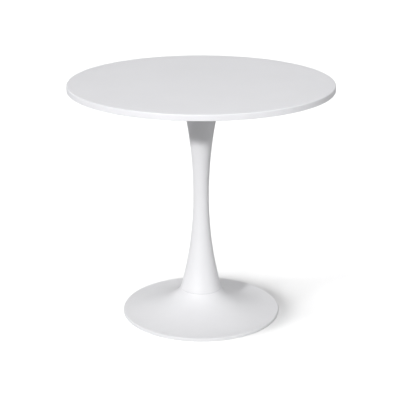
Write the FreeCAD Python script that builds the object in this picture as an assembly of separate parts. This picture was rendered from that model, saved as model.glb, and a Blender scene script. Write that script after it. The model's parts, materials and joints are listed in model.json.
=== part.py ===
"""Round pedestal table: a round lacquered board on a trumpet column and a flared steel foot.

Millimetres. The origin is on the floor, on the table's own axis, and +Z points up. Every piece
is turned about that axis, apart from the ring of screws and inserts that hold the board. One
tie rod, screwed into a hub under the board and tightened by a nut under the ballast, clamps
the column and the foot together.
"""

import FreeCAD
import Part

import math
import os

V = FreeCAD.Vector
AXIS = V(0, 0, 1)

# ---- driving dimensions -------------------------------------------------------------------
table_height = 735.0
top_diameter = 800.0
top_thickness = 18.0
top_edge_round = 3.0
underside_edge_round = 1.0

base_diameter = 490.0
rim_height = 10.0
glide_height = 2.0
glide_upstand = 4.0
glide_upstand_width = 2.5
glide_inset = 0.5
glide_edge_round = 0.6

seam_height = 76.0
seam_radius = 63.6
flare_sweep = 77.0
waist_radius = 23.8
waist_height = 382.0
head_radius = 65.5
sheet_wall = 2.0
sheet_bend = 3.0
sheet_edge_round = 0.6
gasket_thickness = 1.0
gasket_setback = 1.0

plate_diameter = 300.0
plate_thickness = 4.0
plate_bevel = 1.5
screw_count = 8
screw_inset = 25.0
screw_radius = 3.0
screw_length = 14.0
screw_hole_clearance = 0.3
screw_head_radius = 5.8
screw_head_height = 3.3
screw_head_round = 1.6
screw_socket_flats = 4.0
screw_socket_depth = 2.0
insert_radius = 5.0
insert_length = 13.0
insert_pocket_spare = 1.0

rod_radius = 6.0
rod_hole_clearance = 0.7
rod_end_gap = 2.0
rod_chamfer = 1.0
hub_radius = 18.0
hub_length = 25.0
hub_chamfer = 1.5
hub_clearance = 0.5
nut_flats = 19.0
nut_height = 10.0
jam_nut_height = 6.0
nut_crown = 0.9

head_disc_thickness = 6.0
foot_ring_height = 10.0
foot_ring_width = 10.0
locating_height = 8.0
locating_chamfer = 1.5
locating_clearance = 0.5
neck_disc_setback = 12.0
neck_disc_thickness = 5.0
spacer_radius = 17.0
spacer_wall = 3.5

ballast_inset = 95.0
ballast_floor_gap = 4.0
ballast_flare_gap = 3.0
ballast_middle_height = 19.0
ballast_boss_radius = 40.0
ballast_boss_height = 24.0
ballast_round = 2.0
nut_pocket_clearance = 2.0
washer_radius = 18.0
washer_thickness = 2.5
spring_washer_radius = 10.5
spring_washer_thickness = 2.5
spring_washer_gap = 2.0

# ---- heights and radii that follow --------------------------------------------------------
top_radius = top_diameter / 2
top_underside = table_height - top_thickness
plate_underside = top_underside - plate_thickness
column_top = plate_underside - gasket_thickness
column_bottom = seam_height + gasket_thickness
base_radius = base_diameter / 2
skirt_inner_radius = base_radius - sheet_wall
plate_radius = plate_diameter / 2
screw_circle_radius = plate_radius - screw_inset
rod_hole_radius = rod_radius + rod_hole_clearance
rod_top = top_underside - rod_end_gap
hub_bottom = plate_underside - hub_length
foot_ring_radius = seam_radius - sheet_wall - foot_ring_width
locating_radius = foot_ring_radius - locating_clearance
seat_underside = seam_height - sheet_wall
neck_disc_radius = seam_radius - neck_disc_setback
neck_disc_bottom = seat_underside - neck_disc_thickness
ballast_radius = base_radius - ballast_inset
ballast_bottom = ballast_floor_gap
ballast_top = ballast_bottom + ballast_boss_height
nut_pocket_radius = washer_radius + nut_pocket_clearance
clamp_stack = washer_thickness + spring_washer_thickness + nut_height
rod_bottom = ballast_bottom + rod_end_gap
nut_bottom = rod_bottom + rod_chamfer
pocket_ceiling = nut_bottom + clamp_stack


# ---- small tools --------------------------------------------------------------------------
def at(radius, height):
    """A point of an outline: its distance from the table's axis, and its height."""
    return V(radius, 0, height)


def polyline(points):
    """Straight edges through the points, in order."""
    return [Part.makeLine(a, b) for a, b in zip(points, points[1:])]


def turned(edges):
    """The solid of a closed outline turned once round the table's axis."""
    face = Part.Face(Part.Wire(Part.sortEdges(edges)[0]))
    return face.revolve(V(0, 0, 0), AXIS, 360)


def turned_points(points):
    """The solid of a closed outline of straight edges turned round the table's axis."""
    return turned(polyline(points + points[:1]))


def ring(outer, inner, bottom, top):
    """A plain ring, or a disc where inner is 0."""
    body = Part.makeCylinder(outer, top - bottom, V(0, 0, bottom))
    if inner > 0:
        body = body.cut(Part.makeCylinder(inner, top - bottom, V(0, 0, bottom)))
    return body


def circle_edges(solid, radius, height):
    """The solid's circular edges of that radius at that height."""
    found = []
    for edge in solid.Edges:
        box = edge.BoundBox
        level = abs(box.ZMax - height) < 0.01 and abs(box.ZMin - height) < 0.01
        if level and abs(box.XMax - radius) < 0.01:
            found.append(edge)
    return found


def hexagon_prism(flats, bottom, height):
    """A six-sided bar along the table's axis, measured across its flats."""
    reach = flats / 2 / math.cos(math.pi / 6)
    corners = [V(reach * math.cos(k * math.pi / 3), reach * math.sin(k * math.pi / 3), bottom)
               for k in range(7)]
    return Part.Face(Part.makePolygon(corners)).extrude(V(0, 0, height))


def hexagon_nut(bottom, height):
    """A nut on the tie rod, with its corners turned down at both faces."""
    reach = nut_flats / 2 / math.cos(math.pi / 6)
    shoulder = nut_flats / 2
    crown = turned_points([
        at(0, bottom), at(shoulder, bottom), at(reach, bottom + nut_crown),
        at(reach, bottom + height - nut_crown), at(shoulder, bottom + height), at(0, bottom + height),
    ])
    return hexagon_prism(nut_flats, bottom, height).common(crown).cut(
        Part.makeCylinder(rod_radius, height, V(0, 0, bottom)))


def at_screws(piece):
    """Copies of a piece that stands on the axis, one at each screw's place, as one group."""
    copies = []
    for k in range(screw_count):
        copy = piece.copy()
        copy.translate(V(screw_circle_radius, 0, 0))
        copy.rotate(V(0, 0, 0), AXIS, 360 * k / screw_count)
        copies.append(copy)
    return Part.makeCompound(copies)


# ---- the column's outline: two arcs that meet upright at the waist ------------------------
def arc_radius(rise, spread):
    """The radius of an arc that starts upright and has moved out by spread after rise."""
    return (rise * rise + spread * spread) / (2 * spread)


def column_arc(height):
    """(centre, radius) of the outside arc at that height."""
    if height > waist_height:
        radius = arc_radius(column_top - waist_height, head_radius - waist_radius)
    else:
        radius = arc_radius(waist_height - column_bottom, seam_radius - waist_radius)
    return at(waist_radius + radius, waist_height), radius


def column_radius(height, depth=0.0):
    """The column's radius at a height, at a depth under its outside surface."""
    centre, radius = column_arc(height)
    return centre.x - math.sqrt((radius + depth) ** 2 - (height - waist_height) ** 2)


def column_side(low, high, depth):
    """The arc of the column's outline between two heights on one side of its waist."""
    points = [at(column_radius(z, depth), z) for z in (low, (low + high) / 2, high)]
    return Part.Arc(*points).toShape()


def column_interior(low, high):
    """The solid that fills the column between two heights on one side of its waist."""
    wall = column_side(low, high, sheet_wall)
    inner = [at(column_radius(high, sheet_wall), high), at(0, high), at(0, low),
             at(column_radius(low, sheet_wall), low)]
    return turned([wall] + polyline(inner))


# ---- the foot's outline: part of an ellipse, level at the rim and steep at the seam -------
def flare_ellipse(depth):
    """(centre, half width, half height) of the flare's ellipse at a depth under its top surface.

    The ellipse hangs over the inside of the rim, where its lowest point is, and has turned by
    flare_sweep where it reaches the seam.
    """
    turn = math.radians(flare_sweep)
    level_radius = base_radius - sheet_bend
    half_width = (level_radius - seam_radius) / math.sin(turn)
    half_height = (seam_height - rim_height) / (1 - math.cos(turn))
    centre = at(level_radius, rim_height + half_height)
    return centre, half_width + depth, half_height + depth


def flare_height(radius, depth):
    """The height of the flare at a distance from the table's axis, at that depth."""
    centre, half_width, half_height = flare_ellipse(depth)
    share = (centre.x - radius) / half_width
    return centre.z - half_height * math.sqrt(1 - share * share)


def flare_point(height, depth):
    """The point of the flare at a height, at that depth."""
    centre, half_width, half_height = flare_ellipse(depth)
    share = (centre.z - height) / half_height
    return at(centre.x - half_width * math.sqrt(1 - share * share), height)


def flare_edge(depth):
    """The flare's line at that depth, from its level point at the rim up to the foot's seat."""
    centre, half_width, half_height = flare_ellipse(depth)
    lowest = centre - V(0, 0, half_height)
    ellipse = Part.Ellipse(centre - V(half_width, 0, 0), lowest, centre)
    top = flare_point(seam_height - depth, depth)
    ends = sorted(ellipse.parameter(point) for point in (lowest, top))
    return Part.ArcOfEllipse(ellipse, *ends).toShape(), lowest, top


# ---- the board and what fastens it --------------------------------------------------------
def tabletop():
    """The round board, softly rounded above and eased below, with pockets for the inserts."""
    board = Part.makeCylinder(top_radius, top_thickness, V(0, 0, top_underside))
    board = board.makeFillet(top_edge_round, circle_edges(board, top_radius, table_height))
    board = board.makeFillet(underside_edge_round, circle_edges(board, top_radius, top_underside))
    depth = insert_length + insert_pocket_spare
    pocket = Part.makeCylinder(insert_radius, depth, V(0, 0, top_underside))
    return board.cut(at_screws(pocket))


def threaded_inserts():
    """Threaded bushes pressed into the board from below."""
    bush = ring(insert_radius, screw_radius, top_underside, top_underside + insert_length)
    return at_screws(bush)


def plate_screws():
    """Domed socket screws that hold the plate to the board."""
    head_face = plate_underside - screw_head_height
    head = Part.makeCylinder(screw_head_radius, screw_head_height, V(0, 0, head_face))
    head = head.makeFillet(screw_head_round, circle_edges(head, screw_head_radius, head_face))
    shank = Part.makeCylinder(screw_radius, screw_length, V(0, 0, plate_underside))
    socket = hexagon_prism(screw_socket_flats, head_face, screw_socket_depth)
    return at_screws(head.fuse(shank).removeSplitter().cut(socket))


def mounting_plate():
    """The round steel plate under the board, bevelled where it shows."""
    plate = turned_points([
        at(rod_hole_radius, plate_underside), at(plate_radius - plate_bevel, plate_underside),
        at(plate_radius, plate_underside + plate_bevel), at(plate_radius, top_underside),
        at(rod_hole_radius, top_underside),
    ])
    hole_radius = screw_radius + screw_hole_clearance
    hole = Part.makeCylinder(hole_radius, plate_thickness, V(0, 0, plate_underside))
    return plate.cut(at_screws(hole))


def plate_hub():
    """The threaded boss welded under the plate. It takes the tie rod and centres the column."""
    return turned_points([
        at(rod_radius, hub_bottom), at(hub_radius - hub_chamfer, hub_bottom),
        at(hub_radius, hub_bottom + hub_chamfer), at(hub_radius, plate_underside),
        at(rod_radius, plate_underside),
    ])


# ---- the column ---------------------------------------------------------------------------
def column_shell():
    """The trumpet-shaped sheet steel column, open at both ends."""
    outline = []
    for depth in (0.0, sheet_wall):
        outline.append(column_side(column_bottom, waist_height, depth))
        outline.append(column_side(waist_height, column_top, depth))
    for height in (column_bottom, column_top):
        outline += polyline([at(column_radius(height, d), height) for d in (sheet_wall, 0.0)])
    shell = turned(outline)
    ends = circle_edges(shell, seam_radius, column_bottom)
    ends += circle_edges(shell, head_radius, column_top)
    return shell.makeFillet(sheet_edge_round, ends)


def column_head_disc():
    """The disc welded inside the column's upper end, bored to sit round the hub."""
    disc = column_interior(column_top - head_disc_thickness, column_top)
    bore = Part.makeCylinder(hub_radius + hub_clearance, head_disc_thickness,
                             V(0, 0, column_top - head_disc_thickness))
    return disc.cut(bore)


def column_foot_ring():
    """The ring welded inside the column's lower end, which drops over the locating disc."""
    disc = column_interior(column_bottom, column_bottom + foot_ring_height)
    bore = Part.makeCylinder(foot_ring_radius, foot_ring_height, V(0, 0, column_bottom))
    return disc.cut(bore)


def column_top_gasket():
    """The thin ring between the column and the plate."""
    outer = head_radius - gasket_setback
    return ring(outer, hub_radius + hub_clearance, column_top, plate_underside)


def seam_gasket():
    """The thin ring in the seam between the column and the foot."""
    return ring(seam_radius - gasket_setback, foot_ring_radius, seam_height, column_bottom)


# ---- the foot -----------------------------------------------------------------------------
def base_shell():
    """The spun steel foot: a flat seat, a flare, and a rim turned down to a short skirt."""
    bend_centre = at(base_radius - sheet_bend, rim_height - sheet_bend)
    outline = polyline([at(rod_hole_radius, seat_underside), at(rod_hole_radius, seam_height)])
    outline += polyline([at(skirt_inner_radius, glide_height), at(base_radius, glide_height)])
    for depth in (0.0, sheet_wall):
        flare, flare_foot, flare_top = flare_edge(depth)
        bend = sheet_bend - depth
        bend_middle = bend_centre + V(bend * math.sin(math.pi / 4), 0, bend * math.cos(math.pi / 4))
        side = bend_centre + V(bend, 0, 0)
        outline += polyline([at(rod_hole_radius, flare_top.z), flare_top])
        outline += [flare, Part.Arc(flare_foot, bend_middle, side).toShape()]
        outline += polyline([side, at(side.x, glide_height)])
    shell = turned(outline)
    return shell.makeFillet(sheet_edge_round, circle_edges(shell, seam_radius, seam_height))


def locating_disc():
    """The disc on the foot's seat that centres the column's lower end."""
    top = seam_height + locating_height
    return turned_points([
        at(rod_hole_radius, seam_height), at(locating_radius, seam_height),
        at(locating_radius, top - locating_chamfer), at(locating_radius - locating_chamfer, top),
        at(rod_hole_radius, top),
    ])


def neck_disc():
    """The disc under the foot's seat that spreads the clamping load."""
    return ring(neck_disc_radius, rod_hole_radius, neck_disc_bottom, seat_underside)


def spacer_tube():
    """The tube between the ballast and the neck disc, round the tie rod."""
    return ring(spacer_radius, spacer_radius - spacer_wall, ballast_top, neck_disc_bottom)


def ballast_disc():
    """The cast iron weight under the foot, with a boss and a pocket for the clamping nut.

    Its top slopes down from the boss to an edge that stays clear of the flare.
    """
    edge_top = flare_height(ballast_radius, sheet_wall) - ballast_flare_gap
    middle_top = ballast_bottom + ballast_middle_height
    body = turned_points([
        at(rod_hole_radius, pocket_ceiling), at(nut_pocket_radius, pocket_ceiling),
        at(nut_pocket_radius, ballast_bottom), at(ballast_radius, ballast_bottom),
        at(ballast_radius, edge_top), at(ballast_boss_radius, middle_top),
        at(ballast_boss_radius, ballast_top), at(rod_hole_radius, ballast_top),
    ])
    cast_edges = circle_edges(body, ballast_radius, ballast_bottom)
    cast_edges += circle_edges(body, ballast_radius, edge_top)
    cast_edges += circle_edges(body, ballast_boss_radius, ballast_top)
    return body.makeFillet(ballast_round, cast_edges)


def glide_ring():
    """The white plastic ring that the foot stands on, clipped inside the skirt."""
    outer = base_radius - glide_inset
    inner = skirt_inner_radius - glide_upstand_width
    upstand_top = glide_height + glide_upstand
    glide = turned_points([
        at(inner, 0), at(outer, 0), at(outer, glide_height), at(skirt_inner_radius, glide_height),
        at(skirt_inner_radius, upstand_top), at(inner, upstand_top),
    ])
    edges = circle_edges(glide, outer, 0) + circle_edges(glide, inner, 0)
    return glide.makeFillet(glide_edge_round, edges)


# ---- the tie rod and its hardware ---------------------------------------------------------
def tie_rod():
    """The long threaded rod that clamps the pedestal together."""
    rod = Part.makeCylinder(rod_radius, rod_top - rod_bottom, V(0, 0, rod_bottom))
    ends = circle_edges(rod, rod_radius, rod_bottom) + circle_edges(rod, rod_radius, rod_top)
    return rod.makeChamfer(rod_chamfer, ends)


def clamp_washer():
    """The wide flat washer against the ballast."""
    return ring(washer_radius, rod_hole_radius, pocket_ceiling - washer_thickness, pocket_ceiling)


def spring_washer():
    """The split spring washer between the nut and the flat washer."""
    top = pocket_ceiling - washer_thickness
    body = ring(spring_washer_radius, rod_hole_radius, top - spring_washer_thickness, top)
    slit = Part.makeBox(spring_washer_radius, spring_washer_gap, spring_washer_thickness,
                        V(0, -spring_washer_gap / 2, top - spring_washer_thickness))
    return body.cut(slit)


def clamp_nut():
    """The nut that tightens the tie rod, in the ballast's pocket."""
    return hexagon_nut(nut_bottom, nut_height)


def jam_nut():
    """The thin nut that locks the tie rod to the hub."""
    return hexagon_nut(hub_bottom - jam_nut_height, jam_nut_height)


PIECES = (
    tabletop, threaded_inserts, plate_screws, mounting_plate, plate_hub, jam_nut,
    column_top_gasket, column_head_disc, column_shell, column_foot_ring, seam_gasket,
    locating_disc, base_shell, neck_disc, spacer_tube, ballast_disc, clamp_washer,
    spring_washer, clamp_nut, tie_rod, glide_ring,
)


def main():
    os.makedirs("parts", exist_ok=True)
    for make in PIECES:
        shape = make()
        volume = shape.Volume / 1000
        print(f"{make.__name__:20s} {len(shape.Solids)} solid(s) {volume:9.2f} cm3 {shape.isValid()}")
        shape.exportStep(f"parts/{make.__name__}.step")


main()
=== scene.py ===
"""Round pedestal table: the finished look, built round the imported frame.

Metres, in the frame's own axes: the origin is on the floor under the middle of the foot and +Z
points up. The turned pieces are surfaces of revolution: a closed outline of (radius, height)
points is carried round the table's axis. The camera and the lamps come last.
"""

import json
import math

import bmesh
import bpy
import numpy as np
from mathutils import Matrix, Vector


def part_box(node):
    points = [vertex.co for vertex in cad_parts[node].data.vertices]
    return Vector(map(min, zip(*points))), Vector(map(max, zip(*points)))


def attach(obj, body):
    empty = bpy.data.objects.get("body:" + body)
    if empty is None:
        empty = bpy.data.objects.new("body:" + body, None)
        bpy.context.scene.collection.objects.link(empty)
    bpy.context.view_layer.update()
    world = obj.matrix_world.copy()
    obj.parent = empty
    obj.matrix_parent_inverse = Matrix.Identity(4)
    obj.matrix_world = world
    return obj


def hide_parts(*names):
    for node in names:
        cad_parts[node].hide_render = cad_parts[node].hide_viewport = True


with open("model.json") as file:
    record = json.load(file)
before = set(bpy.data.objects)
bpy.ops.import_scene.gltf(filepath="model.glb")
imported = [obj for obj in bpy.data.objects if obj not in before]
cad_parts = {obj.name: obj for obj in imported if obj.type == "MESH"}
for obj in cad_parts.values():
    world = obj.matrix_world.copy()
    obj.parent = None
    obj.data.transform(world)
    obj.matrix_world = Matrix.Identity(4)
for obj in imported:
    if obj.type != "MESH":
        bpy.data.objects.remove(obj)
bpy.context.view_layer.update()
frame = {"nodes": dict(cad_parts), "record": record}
NODES = frame["nodes"]
MM = 0.001

# ---- sizes, which are those of the frame's pieces -------------------------------------------
BOARD_LOW, BOARD_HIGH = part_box("tabletop")
COLUMN_LOW, COLUMN_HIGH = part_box("column_shell")
FOOT_LOW, FOOT_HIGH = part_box("base_shell")
GLIDE_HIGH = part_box("glide_ring")[1]
INSERTS_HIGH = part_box("threaded_inserts")[1]

BOARD_RADIUS = min(-BOARD_LOW.x, -BOARD_LOW.y, BOARD_HIGH.x, BOARD_HIGH.y)
BOARD_EDGE_ROUND = 3.0 * MM
BOARD_UNDER_ROUND = 1.0 * MM
BOARD_FLAT_RADIUS = 0.96 * BOARD_RADIUS
INSERT_RADIUS = 5.0 * MM
INSERT_COUNT = 8
INSERT_SPARE = 1.0 * MM
POCKET_OVERSHOOT = 2.0 * MM

SHEET = 2.0 * MM
SHEET_EDGE_ROUND = 0.6 * MM
WAIST_RADIUS = 23.8 * MM
WAIST_HEIGHT = 382.0 * MM
SEAM_RADIUS = 63.6 * MM
HEAD_RADIUS = 65.5 * MM

FOOT_RADIUS = FOOT_HIGH.x
RIM_HEIGHT = 10.0 * MM
RIM_BEND = 3.0 * MM
FLARE_SWEEP = math.radians(77.0)
ROD_HOLE_RADIUS = 6.7 * MM
GLIDE_UPSTAND_WIDTH = 2.5 * MM
GLIDE_EDGE_ROUND = 0.6 * MM
GLIDE_CORNER_ROUND = 0.2 * MM
GLIDE_TOP_ROUND = 0.3 * MM

# ---- how finely the turned pieces are drawn -------------------------------------------------
BOARD_SEGMENTS = 480
COLUMN_SEGMENTS = 192
FOOT_SEGMENTS = 320
POCKET_SEGMENTS = 48
SMOOTH_UP_TO = math.radians(30)
WELD_WITHIN = 0.001 * MM


# ---- outlines -------------------------------------------------------------------------------
def rounded(points, radii, steps=8):
    """A closed outline with its corners rounded.

    A corner of radius r becomes an arc that touches both of its edges: it starts r / tan(a / 2)
    before the corner, where a is the angle between the edges.
    """
    points = np.asarray(points, float)
    out = []
    neighbours = zip(np.roll(points, 1, 0), points, np.roll(points, -1, 0), radii)
    for before, corner, after, radius in neighbours:
        if radius == 0:
            out.append(corner[None])
            continue
        u = (before - corner) / np.linalg.norm(before - corner)
        v = (after - corner) / np.linalg.norm(after - corner)
        half = math.acos(np.clip(u @ v, -1, 1)) / 2
        middle = (u + v) / np.linalg.norm(u + v)
        centre = corner + middle * radius / math.sin(half)
        start = corner + u * radius / math.tan(half) - centre
        end = corner + v * radius / math.tan(half) - centre
        turn = math.pi - 2 * half
        t = np.linspace(0, 1, steps + 1)[:, None]
        out.append(centre + (np.sin((1 - t) * turn) * start + np.sin(t * turn) * end) / math.sin(turn))
    return np.vstack(out)


def span(a, b, count):
    """Evenly spaced points from a to b, without b."""
    t = np.arange(count)[:, None] / count
    return np.asarray(a, float) * (1 - t) + np.asarray(b, float) * t


# ---- meshes ---------------------------------------------------------------------------------
def grid_faces(rows, columns, close_rows):
    """Four corners of every cell of a grid whose columns join up, and whose rows may too."""
    r = np.arange(rows if close_rows else rows - 1)[:, None]
    c = np.arange(columns)[None, :]
    r2, c2 = (r + 1) % rows, (c + 1) % columns
    corners = [r * columns + c, r * columns + c2, r2 * columns + c2, r2 * columns + c]
    return np.stack([np.broadcast_to(x, (len(r), columns)) for x in corners], -1).reshape(-1, 4)


def new_piece(name, vertices, quads, triangles=()):
    """A mesh object at the origin from arrays of points and faces, shaded smooth."""
    mesh = bpy.data.meshes.new(name)
    quads = np.asarray(quads, np.int32).reshape(-1, 4)
    triangles = np.asarray(triangles, np.int32).reshape(-1, 3)
    sizes = np.concatenate([np.full(len(quads), 4), np.full(len(triangles), 3)]).astype(np.int32)
    corners = np.concatenate([quads.ravel(), triangles.ravel()])
    mesh.vertices.add(len(vertices))
    mesh.vertices.foreach_set("co", np.asarray(vertices, np.float32).ravel())
    mesh.loops.add(len(corners))
    mesh.loops.foreach_set("vertex_index", corners)
    mesh.polygons.add(len(sizes))
    mesh.polygons.foreach_set("loop_start", np.concatenate([[0], np.cumsum(sizes)[:-1]]).astype(np.int32))
    mesh.update(calc_edges=True)
    mesh.validate()
    return finish_shading(name, mesh)


def finish_shading(name, mesh):
    """Puts the mesh in the scene, smooth but for its real corners."""
    mesh.shade_smooth()
    mesh.set_sharp_from_angle(angle=SMOOTH_UP_TO)
    piece = bpy.data.objects.new(name, mesh)
    bpy.context.scene.collection.objects.link(piece)
    return piece


def turned(name, outline, segments):
    """A closed outline carried round the axis: point (r, z) at angle a is (r cos a, r sin a, z).

    The outline runs up its outer side and back down its inner side. Points on the axis become one
    vertex each, so the poles are closed.
    """
    outline = np.asarray(outline, float)
    angle = np.arange(segments) * 2 * math.pi / segments
    on_axis = outline[:, 0] < 1e-7
    rings = outline[~on_axis]
    x = rings[:, :1] * np.cos(angle)
    y = rings[:, :1] * np.sin(angle)
    z = np.broadcast_to(rings[:, 1:], x.shape)
    points = np.stack([x, y, z], -1).reshape(-1, 3)
    if not on_axis.any():
        return new_piece(name, points, grid_faces(len(rings), segments, True))
    poles = outline[on_axis]
    low, high = len(points), len(points) + 1
    points = np.vstack([points, [[0, 0, poles[:, 1].min()], [0, 0, poles[:, 1].max()]]])
    ring = np.arange(segments)
    after = (ring + 1) % segments
    last = (len(rings) - 1) * segments
    caps = np.vstack([
        np.stack([np.full(segments, low), after, ring], -1),
        np.stack([np.full(segments, high), last + ring, last + after], -1),
    ])
    return new_piece(name, points, grid_faces(len(rings), segments, False), caps)


def cut(piece, cutter):
    """The piece less the cutter, as a finished mesh. The cutter is removed.

    Points that the cut leaves within WELD_WITHIN of each other are joined.
    """
    change = piece.modifiers.new("cut", "BOOLEAN")
    change.operation = "DIFFERENCE"
    change.solver = "EXACT"
    change.object = cutter
    mesh = bpy.data.meshes.new_from_object(piece.evaluated_get(bpy.context.evaluated_depsgraph_get()))
    name = piece.name
    bpy.data.objects.remove(cutter)
    bpy.data.objects.remove(piece)
    mesh.name = name
    joined = bmesh.new()
    joined.from_mesh(mesh)
    bmesh.ops.remove_doubles(joined, verts=joined.verts, dist=WELD_WITHIN)
    joined.to_mesh(mesh)
    joined.free()
    return finish_shading(name, mesh)


# ---- the board ------------------------------------------------------------------------------
def tabletop():
    """The round board: a rectangle with rounded corners turned about the axis.

    Blind pockets are cut in its underside for the inserts.
    """
    low, high = BOARD_LOW.z, BOARD_HIGH.z
    inner = BOARD_FLAT_RADIUS
    edge = rounded([(inner, low), (BOARD_RADIUS, low), (BOARD_RADIUS, high), (inner, high)],
                   [0, BOARD_UNDER_ROUND, BOARD_EDGE_ROUND, 0], steps=10)
    outline = np.vstack([span((0, low), (inner, low), 12), edge, span((inner, high), (0, high), 12)[1:],
                         [(0, high)]])
    board = turned("board", outline, BOARD_SEGMENTS)
    return cut(board, insert_pockets())


def insert_pockets():
    """The pockets as one set of cylinders, each standing through the board's underside.

    Pocket k is centred at angle 2 pi k / count on the inserts' circle.
    """
    circle = INSERTS_HIGH.x - INSERT_RADIUS
    angle = np.arange(POCKET_SEGMENTS) * 2 * math.pi / POCKET_SEGMENTS
    place = np.arange(INSERT_COUNT)[:, None, None] * 2 * math.pi / INSERT_COUNT
    levels = np.array([BOARD_LOW.z - POCKET_OVERSHOOT, INSERTS_HIGH.z + INSERT_SPARE])[:, None]
    x = circle * np.cos(place) + INSERT_RADIUS * np.cos(angle)
    y = circle * np.sin(place) + INSERT_RADIUS * np.sin(angle)
    points = np.stack(np.broadcast_arrays(x, y, levels), -1).reshape(-1, 3)
    ring = np.arange(POCKET_SEGMENTS)
    low = np.arange(INSERT_COUNT)[:, None] * len(levels) * POCKET_SEGMENTS + ring
    low_after = np.roll(low, -1, 1)
    high, high_after = low + POCKET_SEGMENTS, low_after + POCKET_SEGMENTS
    sides = np.stack([low, low_after, high_after, high], -1).reshape(-1, 4)
    mesh = bpy.data.meshes.new("pockets")
    mesh.from_pydata(points.tolist(), [], sides.tolist() + low[:, ::-1].tolist() + high.tolist())
    return finish_shading("pockets", mesh)


# ---- the column and the foot ----------------------------------------------------------------
def column_radius(height):
    """The column's outside radius: two arcs, above and below, that meet upright at the waist.

    An arc that moves out by d over a rise h has the radius (h * h + d * d) / (2 d).
    """
    upper = height > WAIST_HEIGHT
    rise = np.where(upper, COLUMN_HIGH.z - WAIST_HEIGHT, WAIST_HEIGHT - COLUMN_LOW.z)
    spread = np.where(upper, HEAD_RADIUS, SEAM_RADIUS) - WAIST_RADIUS
    radius = (rise * rise + spread * spread) / (2 * spread)
    return WAIST_RADIUS + radius - np.sqrt(radius * radius - (height - WAIST_HEIGHT) ** 2)


def column():
    """The column's sheet: the outside line up, and the same line a sheet's thickness in, down."""
    heights = np.linspace(COLUMN_LOW.z, COLUMN_HIGH.z, 121)
    outside = np.stack([column_radius(heights), heights], -1)
    inside = outside[::-1] - (SHEET, 0)
    points = np.vstack([outside, inside])
    radii = np.zeros(len(points))
    radii[[0, len(outside) - 1]] = SHEET_EDGE_ROUND
    return turned("column", rounded(points, radii), COLUMN_SEGMENTS)


def flare(depth, count):
    """The foot's top line at a depth under its surface, from the rim in and up to the seam.

    It is part of an ellipse whose lowest point hangs over the inside of the rim, turned by
    FLARE_SWEEP where it reaches the seam: r = c - a sin t, z = d - b cos t.
    """
    level = FOOT_RADIUS - RIM_BEND
    a = (level - SEAM_RADIUS) / math.sin(FLARE_SWEEP)
    b = (FOOT_HIGH.z - RIM_HEIGHT) / (1 - math.cos(FLARE_SWEEP))
    top = FOOT_HIGH.z - depth
    end = math.acos((RIM_HEIGHT + b - top) / (b + depth))
    t = np.linspace(0, end, count)
    return np.stack([level - (a + depth) * np.sin(t), RIM_HEIGHT + b - (b + depth) * np.cos(t)], -1)


def foot():
    """The foot's sheet: skirt, bend, flare and flat seat on top, and the same line back inside."""
    bend = np.linspace(0, math.pi / 2, 11)[1:-1]
    bend_centre = np.array([FOOT_RADIUS - RIM_BEND, RIM_HEIGHT - RIM_BEND])
    direction = np.stack([np.cos(bend), np.sin(bend)], -1)
    skirt_low, skirt_high = FOOT_LOW.z, RIM_HEIGHT - RIM_BEND
    outer = np.vstack([
        span((FOOT_RADIUS, skirt_low), (FOOT_RADIUS, skirt_high), 3), [(FOOT_RADIUS, skirt_high)],
        bend_centre + direction * RIM_BEND, flare(0, 97),
        span((SEAM_RADIUS, FOOT_HIGH.z), (ROD_HOLE_RADIUS, FOOT_HIGH.z), 6)[1:],
        [(ROD_HOLE_RADIUS, FOOT_HIGH.z)],
    ])
    under = FOOT_HIGH.z - SHEET
    inner_flare = flare(SHEET, 73)[::-1]
    inner = np.vstack([
        span((ROD_HOLE_RADIUS, under), inner_flare[0], 6), inner_flare,
        (bend_centre + direction * (RIM_BEND - SHEET))[::-1],
        [(FOOT_RADIUS - SHEET, skirt_high), (FOOT_RADIUS - SHEET, skirt_low)],
    ])
    points = np.vstack([outer, inner])
    radii = np.zeros(len(points))
    seam = np.argmin(np.linalg.norm(points - (SEAM_RADIUS, FOOT_HIGH.z), axis=1))
    radii[seam] = SHEET_EDGE_ROUND
    return turned("foot", rounded(points, radii), FOOT_SEGMENTS)


def glide():
    """The ring under the foot's rim: a flat sole and an upstand inside the skirt."""
    outer = GLIDE_HIGH.x
    skirt = FOOT_RADIUS - SHEET
    inner = skirt - GLIDE_UPSTAND_WIDTH
    top = FOOT_LOW.z
    outline = rounded([(inner, 0), (outer, 0), (outer, top), (skirt, top), (skirt, GLIDE_HIGH.z),
                       (inner, GLIDE_HIGH.z)],
                      [GLIDE_EDGE_ROUND, GLIDE_EDGE_ROUND, GLIDE_CORNER_ROUND, 0, GLIDE_TOP_ROUND,
                       GLIDE_TOP_ROUND], steps=5)
    return turned("glide", outline, FOOT_SEGMENTS)


# ---- the finishes ---------------------------------------------------------------------------
def srgb(code):
    """A hex colour as linear red, green, blue and alpha 1."""
    values = [int(code[i:i + 2], 16) / 255 for i in (1, 3, 5)]
    return tuple(v / 12.92 if v <= 0.04045 else ((v + 0.055) / 1.055) ** 2.4 for v in values) + (1,)


def feed(tree, node, inputs):
    """Sets a node's inputs, by name or number: a socket is linked, anything else is a value."""
    for key, value in inputs.items():
        if isinstance(value, bpy.types.NodeSocket):
            tree.links.new(value, node.inputs[key])
        else:
            node.inputs[key].default_value = value


def add(tree, kind, inputs, **settings):
    """Adds a node with its settings and inputs."""
    node = tree.nodes.new(kind)
    for name, value in settings.items():
        setattr(node, name, value)
    feed(tree, node, inputs)
    return node.outputs


def blank(name):
    """A new material: (material, node tree, its surface shader, object coordinates in metres)."""
    material = bpy.data.materials.new(name)
    material.use_nodes = True
    tree = material.node_tree
    return material, tree, tree.nodes["Principled BSDF"], add(tree, "ShaderNodeTexCoord", {})["Object"]


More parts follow.
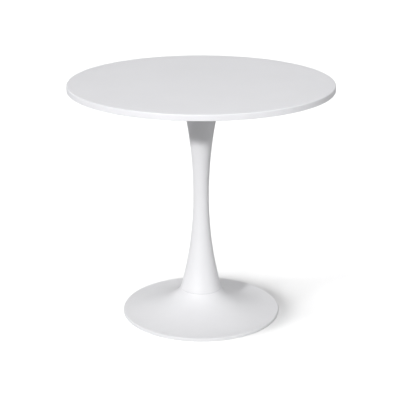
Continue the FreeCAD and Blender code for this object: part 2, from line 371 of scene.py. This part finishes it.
# A noise's scale is one over the size of its lumps. Its values lie mostly in NOISE_SPAN, and a Map
# Range spreads that over the range that is wanted.
NOISE_SPAN = {"From Min": 0.3, "From Max": 0.7}


def satin_lacquer():
    """Satin polyurethane lacquer, sprayed on fibreboard and left as sprayed.

    The eye gets a cool even white, broad soft highlights that vary a little from pass to pass, and
    close up the low orange peel of spray, 4 mm from crest to crest.
    """
    material, tree, surface, place = blank("satin_lacquer_on_fibreboard")
    passes = add(tree, "ShaderNodeTexNoise", {"Vector": place, "Scale": 1 / (120 * MM), "Detail": 3})
    share = add(tree, "ShaderNodeMapRange", {"Value": passes["Fac"], **NOISE_SPAN})
    colour = add(tree, "ShaderNodeMix", {0: share["Result"], 6: srgb("#ECECEF"), 7: srgb("#EEEEF1")},
                 data_type="RGBA")
    sheen = add(tree, "ShaderNodeMapRange", {"Value": passes["Fac"], **NOISE_SPAN,
                                             "To Min": 0.43, "To Max": 0.49})
    peel = add(tree, "ShaderNodeTexNoise", {"Vector": place, "Scale": 1 / (4 * MM), "Detail": 1})
    relief = add(tree, "ShaderNodeBump", {"Height": peel["Fac"], "Distance": 0.02 * MM})
    feed(tree, surface, {"Base Color": colour[2], "Roughness": sheen["Result"], "IOR": 1.5,
                         "Normal": relief["Normal"]})
    return material


def powder_coat():
    """Polyester powder baked on sheet steel, which melts to one white skin with no brush or seam.

    The eye gets a satin white with slightly duller patches, and close up the tight orange peel of
    melted powder, 2.5 mm from crest to crest.
    """
    material, tree, surface, place = blank("white_powder_coat_on_steel")
    cloud = add(tree, "ShaderNodeTexNoise", {"Vector": place, "Scale": 1 / (60 * MM), "Detail": 3})
    share = add(tree, "ShaderNodeMapRange", {"Value": cloud["Fac"], **NOISE_SPAN})
    colour = add(tree, "ShaderNodeMix", {0: share["Result"], 6: srgb("#E7E7E9"), 7: srgb("#E9E9EB")},
                 data_type="RGBA")
    patch = add(tree, "ShaderNodeTexNoise", {"Vector": place, "Scale": 1 / (20 * MM), "Detail": 3})
    sheen = add(tree, "ShaderNodeMapRange", {"Value": patch["Fac"], **NOISE_SPAN,
                                             "To Min": 0.46, "To Max": 0.54})
    peel = add(tree, "ShaderNodeTexNoise", {"Vector": place, "Scale": 1 / (2.5 * MM), "Detail": 1})
    relief = add(tree, "ShaderNodeBump", {"Height": peel["Fac"], "Distance": 0.03 * MM})
    feed(tree, surface, {"Base Color": colour[2], "Roughness": sheen["Result"], "IOR": 1.5,
                         "Normal": relief["Normal"]})
    return material


def moulded_polyethylene():
    """Natural polyethylene, injection moulded in a lightly etched tool.

    The eye gets a milky, dull white, a shade greyer than the coat above it, that light sinks a
    little way into, with the fine grain of the etched tool at 1.2 mm.
    """
    material, tree, surface, place = blank("moulded_polyethylene")
    cloud = add(tree, "ShaderNodeTexNoise", {"Vector": place, "Scale": 1 / (12 * MM), "Detail": 2})
    share = add(tree, "ShaderNodeMapRange", {"Value": cloud["Fac"], **NOISE_SPAN})
    colour = add(tree, "ShaderNodeMix", {0: share["Result"], 6: srgb("#DADADB"), 7: srgb("#E2E2E2")},
                 data_type="RGBA")
    grain = add(tree, "ShaderNodeTexNoise", {"Vector": place, "Scale": 1 / (1.2 * MM), "Detail": 2})
    relief = add(tree, "ShaderNodeBump", {"Height": grain["Fac"], "Distance": 0.02 * MM})
    feed(tree, surface, {"Base Color": colour[2], "Roughness": 0.55, "IOR": 1.51,
                         "Normal": relief["Normal"]})
    return material


def zinc_plate():
    """Steel electroplated with zinc and passivated clear.

    The eye gets a cool pale metal, bright but cloudy, whose gloss comes and goes over a few
    millimetres. The plate's own grain is finer than a hair, so it is drawn at 0.6 mm.
    """
    material, tree, surface, place = blank("zinc_plated_steel")
    cloud = add(tree, "ShaderNodeTexNoise", {"Vector": place, "Scale": 1 / (3 * MM), "Detail": 4})
    share = add(tree, "ShaderNodeMapRange", {"Value": cloud["Fac"], **NOISE_SPAN})
    colour = add(tree, "ShaderNodeMix", {0: share["Result"], 6: srgb("#B4B8BE"), 7: srgb("#D2D5D8")},
                 data_type="RGBA")
    sheen = add(tree, "ShaderNodeMapRange", {"Value": cloud["Fac"], **NOISE_SPAN,
                                             "To Min": 0.26, "To Max": 0.42})
    grain = add(tree, "ShaderNodeTexNoise", {"Vector": place, "Scale": 1 / (0.6 * MM), "Detail": 2})
    relief = add(tree, "ShaderNodeBump", {"Height": grain["Fac"], "Distance": 0.01 * MM})
    feed(tree, surface, {"Base Color": colour[2], "Metallic": 1.0, "Roughness": sheen["Result"],
                         "Normal": relief["Normal"]})
    return material


def mill_steel():
    """Hot-rolled steel, cut and welded but not coated.

    The eye gets a dark grey metal under blue-grey rolling scale, which has flaked to brighter steel
    in places, and a dull, finely pitted surface.
    """
    material, tree, surface, place = blank("mill_finish_steel")
    scale = add(tree, "ShaderNodeTexNoise", {"Vector": place, "Scale": 1 / (14 * MM), "Detail": 6})
    flaked = add(tree, "ShaderNodeMapRange", {"Value": scale["Fac"], "From Min": 0.5, "From Max": 0.62})
    colour = add(tree, "ShaderNodeMix", {0: flaked["Result"], 6: srgb("#5A5D64"), 7: srgb("#8A8B8D")},
                 data_type="RGBA")
    sheen = add(tree, "ShaderNodeMapRange", {"Value": flaked["Result"], "To Min": 0.62, "To Max": 0.42})
    pits = add(tree, "ShaderNodeTexNoise", {"Vector": place, "Scale": 1 / (1.0 * MM), "Detail": 3})
    relief = add(tree, "ShaderNodeBump", {"Height": pits["Fac"], "Distance": 0.04 * MM})
    feed(tree, surface, {"Base Color": colour[2], "Metallic": 1.0, "Roughness": sheen["Result"],
                         "Normal": relief["Normal"]})
    return material


def dipped_cast_iron():
    """Grey iron cast in sand, shot-blasted and dipped in black bitumen paint.

    The eye gets a warm black with a low uneven sheen, thicker and shinier where the paint ran, over
    the grain of the sand mould at 0.9 mm and the slow unevenness of the casting.
    """
    material, tree, surface, place = blank("black_dipped_cast_iron")
    runs = add(tree, "ShaderNodeTexNoise", {"Vector": place, "Scale": 1 / (16 * MM), "Detail": 5})
    share = add(tree, "ShaderNodeMapRange", {"Value": runs["Fac"], **NOISE_SPAN})
    colour = add(tree, "ShaderNodeMix", {0: share["Result"], 6: srgb("#1D1D1E"), 7: srgb("#343334")},
                 data_type="RGBA")
    sheen = add(tree, "ShaderNodeMapRange", {"Value": share["Result"], "To Min": 0.42, "To Max": 0.68})
    casting = add(tree, "ShaderNodeBump", {"Height": runs["Fac"], "Distance": 0.5 * MM})
    sand = add(tree, "ShaderNodeTexNoise", {"Vector": place, "Scale": 1 / (0.9 * MM), "Detail": 3})
    relief = add(tree, "ShaderNodeBump", {"Height": sand["Fac"], "Distance": 0.25 * MM,
                                          "Normal": casting["Normal"]})
    feed(tree, surface, {"Base Color": colour[2], "Roughness": sheen["Result"], "IOR": 1.5,
                         "Normal": relief["Normal"]})
    return material


def gasket_rubber():
    """White rubber sheet, calendered on cloth and cut to a ring.

    The eye gets a matt light grey line with the faint cloth print of the sheet, drawn at 0.5 mm.
    """
    material, tree, surface, place = blank("white_rubber_sheet")
    cloud = add(tree, "ShaderNodeTexNoise", {"Vector": place, "Scale": 1 / (5 * MM), "Detail": 2})
    share = add(tree, "ShaderNodeMapRange", {"Value": cloud["Fac"], **NOISE_SPAN})
    colour = add(tree, "ShaderNodeMix", {0: share["Result"], 6: srgb("#C6C6C8"), 7: srgb("#D2D2D4")},
                 data_type="RGBA")
    print_marks = add(tree, "ShaderNodeTexNoise", {"Vector": place, "Scale": 1 / (0.5 * MM)})
    relief = add(tree, "ShaderNodeBump", {"Height": print_marks["Fac"], "Distance": 0.02 * MM})
    feed(tree, surface, {"Base Color": colour[2], "Roughness": 0.8, "IOR": 1.52,
                         "Normal": relief["Normal"]})
    return material


FINISHES = {
    "board_lacquer": satin_lacquer(),
    "white_powder_coat": powder_coat(),
    "white_plastic": moulded_polyethylene(),
    "zinc_plated_steel": zinc_plate(),
    "plain_steel": mill_steel(),
    "cast_iron": dipped_cast_iron(),
    "white_gasket": gasket_rubber(),
}
SLOT_OF = {part["node"]: part["material_slot"] for part in frame["record"]["subparts"]}


def dress(piece, slot):
    """Gives a piece the finish of a material slot."""
    piece.data.materials.clear()
    piece.data.materials.append(FINISHES[slot])


def stand_for(piece, node):
    """The piece takes a frame node's place, body and finish."""
    slot = SLOT_OF[node]
    dress(piece, slot)
    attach(piece, "root")
    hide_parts(node)


for node, obj in NODES.items():
    dress(obj, SLOT_OF[node])
stand_for(tabletop(), "tabletop")
stand_for(column(), "column_shell")
stand_for(foot(), "base_shell")
stand_for(glide(), "glide_ring")


# ---- the studio -----------------------------------------------------------------------------
FLOOR_HALF = 30.0
AIM = Vector((0, 0, 0.6))
FAR_AWAY = 5.0
SOFTBOX_SPREAD = 40
ROW_PLACES = 2
ROW_MIDDLE = -60
ROW_STEP = 25
ROW_SPREAD = 14

# The nodes above the foot, which the lamp from below doesn't light.
UPPER_NODES = ("threaded_inserts", "plate_screws", "mounting_plate", "plate_hub", "jam_nut",
               "column_top_gasket", "column_head_disc", "column_foot_ring", "seam_gasket")

# The far softboxes round the table: name, azimuth and elevation in degrees, and strength.
SOFTBOXES = [
    ("left_low_softbox", -90, 12, 0.3),
    ("left_high_softbox", -90, 68, 0.3),
    ("right_front_softbox", 60, 25, 0.6),
    ("right_low_softbox", 90, 12, 0.2),
    ("right_softbox", 90, 40, 0.2),
    ("back_right_softbox", 135, 40, 0.3),
    ("back_softbox", 180, 40, 0.4),
    ("back_low_softbox", 180, 12, 0.1),
    ("back_left_softbox", -135, 12, 0.6),
]


def sheet_of_floor(name, height, colour):
    """A square of matt floor, 60 m across, about the table."""
    corners = [(x * FLOOR_HALF, y * FLOOR_HALF, height) for x, y in ((-1, -1), (1, -1), (1, 1), (-1, 1))]
    mesh = bpy.data.meshes.new(name)
    mesh.from_pydata(corners, [], [(0, 1, 2, 3)])
    floor = bpy.data.objects.new(name, mesh)
    bpy.context.scene.collection.objects.link(floor)
    material, tree, surface, _ = blank(name)
    feed(tree, surface, {"Base Color": srgb(colour), "Roughness": 1.0, "Specular IOR Level": 0.0})
    mesh.materials.append(material)
    return floor


def white_sweep():
    """The white paper that shows. It lights nothing, and is clear when looked at from below."""
    floor = sheet_of_floor("white_paper_sweep", 0.0, "#F4F4F4")
    floor.visible_diffuse = False
    floor.visible_glossy = False
    floor.visible_transmission = False
    floor.visible_shadow = False
    tree = floor.data.materials[0].node_tree
    clear = add(tree, "ShaderNodeBsdfTransparent", {})
    below = add(tree, "ShaderNodeNewGeometry", {})["Backfacing"]
    paper = tree.nodes["Principled BSDF"].outputs["BSDF"]
    sides = add(tree, "ShaderNodeMixShader", {0: below, 1: paper, 2: clear["BSDF"]})
    feed(tree, tree.nodes["Material Output"], {"Surface": sides["Shader"]})
    return floor


def grey_bounce():
    """The studio's grey floor, which isn't seen but throws soft light up under the table."""
    floor = sheet_of_floor("grey_bounce_floor", -1 * MM, "#BCBCBC")
    floor.visible_camera = False
    floor.visible_shadow = False
    return floor


def light_group(name, members, state):
    """A named group of objects that a lamp lights or blocks (INCLUDE), or leaves out (EXCLUDE)."""
    group = bpy.data.collections.new(name)
    for member in members:
        group.objects.link(member)
    for entry in group.collection_objects:
        entry.light_linking.link_state = state
    return group


def lamp(name, azimuth, elevation, strength, spread, lights, distance=None):
    """A soft lamp that points at the table's middle.

    Azimuth 0 is in front of the table, and it grows towards +X. strength is the light that reaches
    the table, in W/m2, and spread is the lamp's width as the table sees it, in degrees. The lamp is
    a round softbox at its distance, or without one it is far away.
    """
    a, e, half_spread = math.radians(azimuth), math.radians(elevation), math.radians(spread / 2)
    towards = Vector((math.sin(a) * math.cos(e), -math.cos(a) * math.cos(e), math.sin(e)))
    if distance is None:
        light = bpy.data.lights.new(name, "SUN")
        light.energy = strength
        light.angle = 2 * half_spread
    else:
        light = bpy.data.lights.new(name, "AREA")
        light.shape = "DISK"
        light.size = 2 * distance * math.tan(half_spread)
        light.energy = strength * math.pi * distance ** 2
    obj = bpy.data.objects.new(name, light)
    obj.location = AIM + towards * (distance or FAR_AWAY)
    obj.rotation_euler = towards.to_track_quat("Z", "Y").to_euler()
    obj.light_linking.receiver_collection = lights
    obj.visible_camera = False
    bpy.context.scene.collection.objects.link(obj)
    return obj


def sweep_lamps(lights):
    """The sweep's own lamps, which make the pedestal's shade on it a soft fan to the right.

    Two low rows stand round its front left, ROW_STEP degrees apart. In the lower row a lamp that is
    k places from the middle has 1 / (1 + k) of the middle one's strength. One more is overhead.
    """
    lamps = [lamp("sweep_top_light", 0, 90, 1.8, 60, lights)]
    for place in range(-ROW_PLACES, ROW_PLACES + 1):
        number = place + ROW_PLACES + 1
        azimuth = ROW_MIDDLE + ROW_STEP * place
        low_strength = 9.0 / (1 + abs(place))
        lamps.append(lamp(f"sweep_low_light_{number}", azimuth, 3, low_strength, ROW_SPREAD, lights))
        lamps.append(lamp(f"sweep_upper_light_{number}", azimuth, 12, 0.8, ROW_SPREAD, lights))
    return lamps


def studio():
    """Floors, lamps and a white surround."""
    sweep = white_sweep()
    grey_bounce()
    table_only = light_group("all_but_the_sweep", [sweep], "EXCLUDE")
    sweep_only = light_group("the_sweep", [sweep], "INCLUDE")
    lamp("key", -28, 24, 2.3, 4, table_only)
    lamp("front_softbox", 0, 40, 0.7, SOFTBOX_SPREAD, table_only, distance=3.0)
    for name, azimuth, elevation, strength in SOFTBOXES:
        lamp(name, azimuth, elevation, strength, SOFTBOX_SPREAD, table_only)
    above = [bpy.data.objects[name] for name in ("board", "column")]
    above += [NODES[node] for node in UPPER_NODES]
    below = light_group("underside_of_the_foot", [sweep] + above, "EXCLUDE")
    lamp("under_softbox", 0, -90, 1.6, 60, below)
    pedestal = [bpy.data.objects[name] for name in ("column", "foot", "glide")]
    shades = light_group("what_shades_the_sweep", pedestal, "INCLUDE")
    for light in sweep_lamps(sweep_only):
        light.light_linking.blocker_collection = shades

    world = bpy.data.worlds.new("white_surround")
    bpy.context.scene.world = world
    world.use_nodes = True
    feed(world.node_tree, world.node_tree.nodes["Background"], {"Color": (1, 1, 1, 1), "Strength": 1.0})
    world.cycles_visibility.diffuse = False
    world.cycles_visibility.glossy = False
    world.cycles_visibility.transmission = False


LENS = 106.07
SENSOR_WIDTH = 36.0
CAMERA_PLACE = (-0.0035, -3.444, 1.506)
CAMERA_LOOKS_DOWN = math.radians(18.35)


def camera():
    """The camera stands in front of the table, above it, and looks down at it."""
    data = bpy.data.cameras.new("camera")
    data.sensor_width = SENSOR_WIDTH
    data.lens = LENS
    obj = bpy.data.objects.new("camera", data)
    obj.location = CAMERA_PLACE
    obj.rotation_euler = (math.pi / 2 - CAMERA_LOOKS_DOWN, 0, 0)
    bpy.context.scene.collection.objects.link(obj)
    bpy.context.scene.camera = obj


studio()
camera()
bpy.context.scene.view_settings.view_transform = "Standard"
